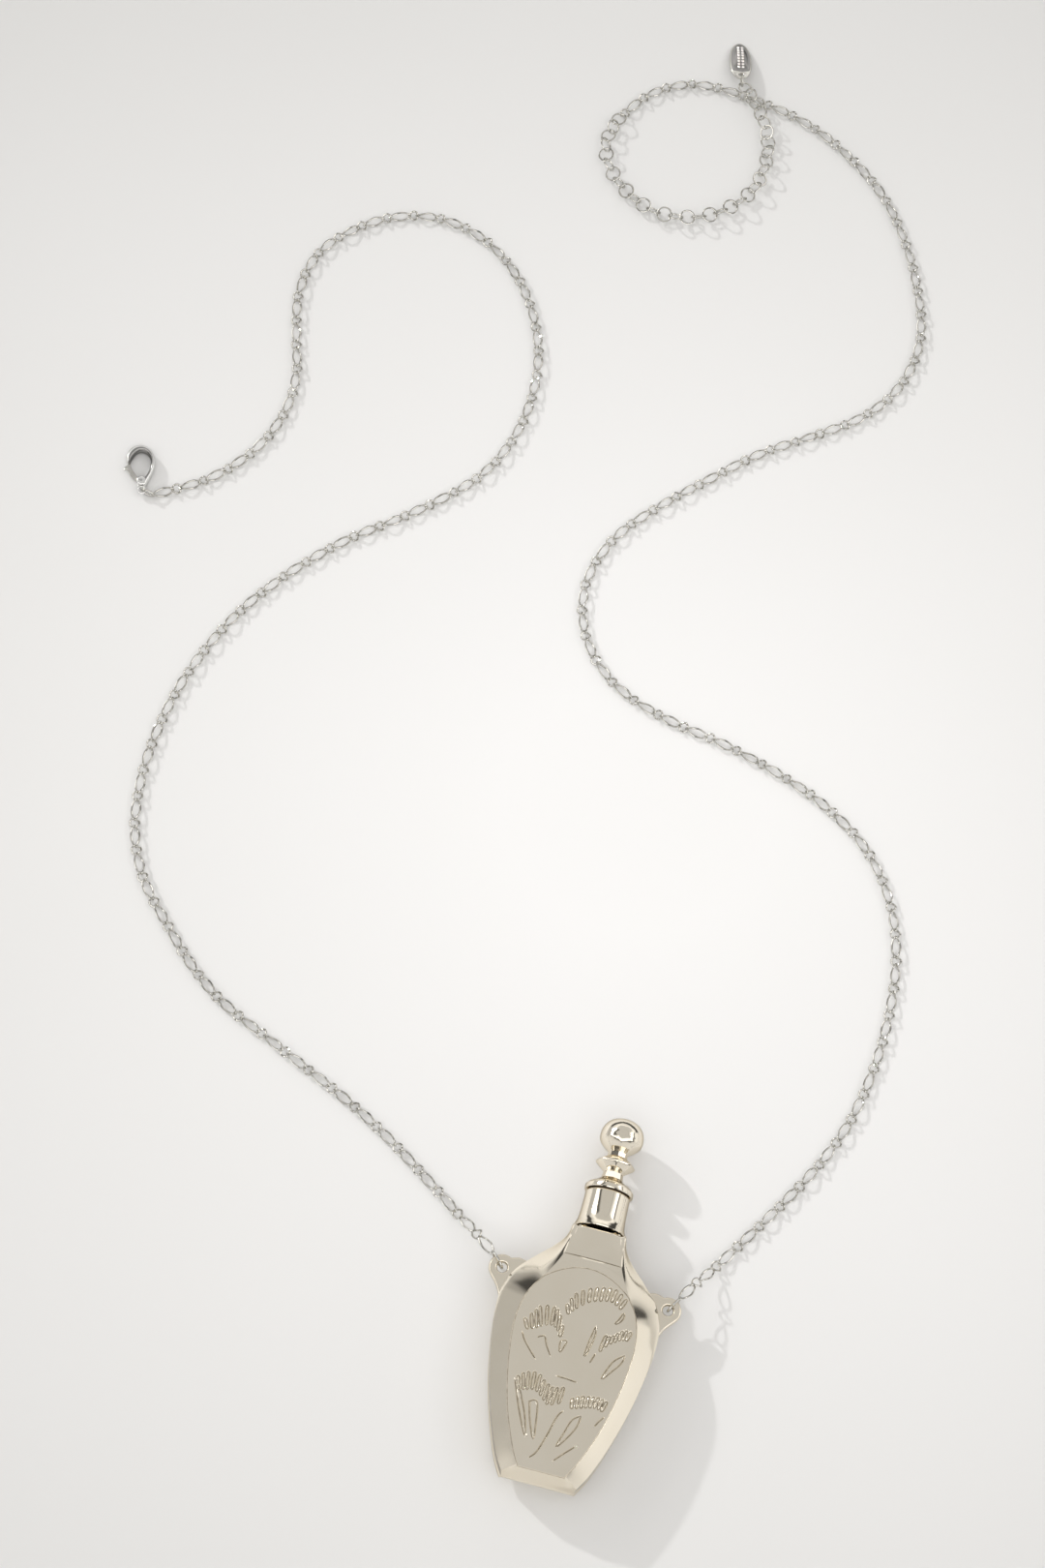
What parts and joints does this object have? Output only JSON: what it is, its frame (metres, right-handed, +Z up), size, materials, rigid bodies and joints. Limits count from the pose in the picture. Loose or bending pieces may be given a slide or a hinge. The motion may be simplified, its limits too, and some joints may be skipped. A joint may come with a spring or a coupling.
{
  "type": "pendant necklace",
  "caption": "Long chain necklace with a perfume-bottle pendant that has a pull-out stopper, a lobster clasp, and an extender chain with a small plain charm.",
  "frame": {"origin": "middle of the pendant's footprint, on the surface that it lies on; the chain and what hangs on it are not counted", "axes": "+Y along the bottle from its foot to its stopper, +Z up out of its engraved face, +X to the right seen from above"},
  "size_m": [0.2005, 0.3623, 0.012],
  "materials": {
    "gold_plate": "pale champagne-gold plate, mirror polished",
    "silver_plate": "rhodium-coloured plate, bright polished",
    "steel": "plain spring steel",
    "seal": "soft off-white stopper seal"
  },
  "bodies": {
    "pendant": {"bottle_front_shell": "gold_plate", "bottle_back_shell": "gold_plate", "bottle_neck_tube": "gold_plate", "left_lug": "gold_plate", "right_lug": "gold_plate"},
    "stopper": {"stopper_collar": "gold_plate", "stopper_finial": "gold_plate", "stopper_plug": "gold_plate", "stopper_seal": "seal"},
    "left_lug_ring": {"left_lug_ring": "silver_plate"},
    "chain_left_1": {"chain_left_1": "silver_plate"},
    "chain_left_2": {"chain_left_2": "silver_plate"},
    "chain_left_3": {"chain_left_3": "silver_plate"},
    "chain_left_4": {"chain_left_4": "silver_plate"},
    "chain_left_5": {"chain_left_5": "silver_plate"},
    "chain_left_6": {"chain_left_6": "silver_plate"},
    "chain_left_7": {"chain_left_7": "silver_plate"},
    "chain_left_8": {"chain_left_8": "silver_plate"},
    "right_lug_ring": {"right_lug_ring": "silver_plate"},
    "chain_right_1": {"chain_right_1": "silver_plate"},
    "chain_right_2": {"chain_right_2": "silver_plate"},
    "chain_right_3": {"chain_right_3": "silver_plate"},
    "chain_right_4": {"chain_right_4": "silver_plate"},
    "chain_right_5": {"chain_right_5": "silver_plate"},
    "chain_right_6": {"chain_right_6": "silver_plate"},
    "chain_right_7": {"chain_right_7": "silver_plate"},
    "chain_right_8": {"chain_right_8": "silver_plate"},
    "clasp_ring": {"clasp_ring": "silver_plate"},
    "clasp": {"clasp_body": "silver_plate", "clasp_pin": "steel", "clasp_spring": "steel"},
    "clasp_lever": {"clasp_lever": "silver_plate"},
    "extender": {"extender_run": "silver_plate"},
    "extender_end": {"extender_end": "silver_plate"},
    "charm_ring": {"charm_ring": "silver_plate"},
    "charm": {"charm_tag": "silver_plate"}
  },
  "joints": [
    {"name": "stopper_pull", "type": "slide", "parent": "pendant", "child": "stopper", "axis": [0, 1, 0], "range_m": [0, 0.012]},
    {"name": "left_lug_ring_swing", "type": "hinge", "parent": "pendant", "child": "left_lug_ring", "pos_m": [-0.0181, 0.0023, 0.006], "axis": [0, 0, -1], "range_deg": [-20, 12]},
    {"name": "chain_left_1_bend", "type": "hinge", "parent": "left_lug_ring", "child": "chain_left_1", "pos_m": [-0.0206, 0.0049, 0.006], "axis": [0, 0, 1], "range_deg": [-12, 20]},
    {"name": "chain_left_2_bend", "type": "hinge", "parent": "chain_left_1", "child": "chain_left_2", "pos_m": [-0.06984, 0.03593, 0.0007], "axis": [0, 0, -1], "range_deg": [-20, 10]},
    {"name": "chain_left_3_bend", "type": "hinge", "parent": "chain_left_2", "child": "chain_left_3", "pos_m": [-0.1164, 0.06961, 0.0007], "axis": [0, 0, 1], "range_deg": [-12, 20]},
    {"name": "chain_left_4_bend", "type": "hinge", "parent": "chain_left_3", "child": "chain_left_4", "pos_m": [-0.12004, 0.12004, 0.0007], "axis": [0, 0, -1], "range_deg": [-20, 18]},
    {"name": "chain_left_5_bend", "type": "hinge", "parent": "chain_left_4", "child": "chain_left_5", "pos_m": [-0.08793, 0.16776, 0.0007], "axis": [0, 0, 1], "range_deg": [-20, 20]},
    {"name": "chain_left_6_bend", "type": "hinge", "parent": "chain_left_5", "child": "chain_left_6", "pos_m": [-0.06226, 0.21688, 0.0007], "axis": [0, 0, -1], "range_deg": [-18, 20]},
    {"name": "chain_left_7_bend", "type": "hinge", "parent": "chain_left_6", "child": "chain_left_7", "pos_m": [-0.10097, 0.25099, 0.0007], "axis": [0, 0, 1], "range_deg": [-20, 18]},
    {"name": "chain_left_8_bend", "type": "hinge", "parent": "chain_left_7", "child": "chain_left_8", "pos_m": [-0.11901, 0.20922, 0.0007], "axis": [0, 0, -1], "range_deg": [-20, 20]},
    {"name": "right_lug_ring_swing", "type": "hinge", "parent": "pendant", "child": "right_lug_ring", "pos_m": [0.0181, 0.0023, 0.006], "axis": [0, 0, -1], "range_deg": [-8, 20]},
    {"name": "chain_right_1_bend", "type": "hinge", "parent": "right_lug_ring", "child": "chain_right_1", "pos_m": [0.0199, 0.0054, 0.006], "axis": [0, 0, 1], "range_deg": [-20, 8]},
    {"name": "chain_right_2_bend", "type": "hinge", "parent": "chain_right_1", "child": "chain_right_2", "pos_m": [0.048, 0.0569, 0.0007], "axis": [0, 0, -1], "range_deg": [-8, 20]},
    {"name": "chain_right_3_bend", "type": "hinge", "parent": "chain_right_2", "child": "chain_right_3", "pos_m": [0.04588, 0.10824, 0.0007], "axis": [0, 0, 1], "range_deg": [-20, 10]},
    {"name": "chain_right_4_bend", "type": "hinge", "parent": "chain_right_3", "child": "chain_right_4", "pos_m": [-0.00299, 0.13672, 0.0007], "axis": [0, 0, -1], "range_deg": [-12, 20]},
    {"name": "chain_right_5_bend", "type": "hinge", "parent": "chain_right_4", "child": "chain_right_5", "pos_m": [-0.03724, 0.17376, 0.0007], "axis": [0, 0, 1], "range_deg": [-20, 20]},
    {"name": "chain_right_6_bend", "type": "hinge", "parent": "chain_right_5", "child": "chain_right_6", "pos_m": [-0.00397, 0.21341, 0.0007], "axis": [0, 0, -1], "range_deg": [-20, 20]},
    {"name": "chain_right_7_bend", "type": "hinge", "parent": "chain_right_6", "child": "chain_right_7", "pos_m": [0.02242, 0.26036, 0.0007], "axis": [0, 0, 1], "range_deg": [-20, 20]},
    {"name": "chain_right_8_bend", "type": "hinge", "parent": "chain_right_7", "child": "chain_right_8", "pos_m": [-0.00816, 0.30101, 0.0007], "axis": [0, 0, -1], "range_deg": [-20, 20]},
    {"name": "clasp_ring_swing", "type": "hinge", "parent": "chain_left_8", "child": "clasp_ring", "pos_m": [-0.1404, 0.1609, 0.0012], "axis": [0, 0, -1], "range_deg": [-20, 20]},
    {"name": "clasp_swing", "type": "hinge", "parent": "clasp_ring", "child": "clasp", "pos_m": [-0.143, 0.1614, 0.0012], "axis": [0, 0, -1], "range_deg": [-30, 30]},
    {"name": "clasp_lever_open", "type": "hinge", "parent": "clasp", "child": "clasp_lever", "pos_m": [-0.14368, 0.16328, 0.0012], "axis": [0, 0, -1], "range_deg": [0, 20], "stiffness_Nm_per_rad": 0.01, "springref_deg": -5.73},
    {"name": "extender_bend", "type": "hinge", "parent": "chain_right_8", "child": "extender", "pos_m": [-0.0595, 0.293, 0.0011], "axis": [0, 0, -1], "range_deg": [-5, 5]},
    {"name": "extender_end_lift", "type": "hinge", "parent": "extender", "child": "extender_end", "pos_m": [-0.0225, 0.28904, 0.0011], "axis": [1, 0, 0], "range_deg": [0, 45]},
    {"name": "charm_ring_swing", "type": "hinge", "parent": "extender_end", "child": "charm_ring", "pos_m": [-0.033, 0.3095, 0.0029], "axis": [0, 0, -1], "range_deg": [-15, 15]},
    {"name": "charm_swing", "type": "hinge", "parent": "charm_ring", "child": "charm", "pos_m": [-0.0338, 0.312, 0.0029], "axis": [0, 0, -1], "range_deg": [-25, 25]}
  ]
}
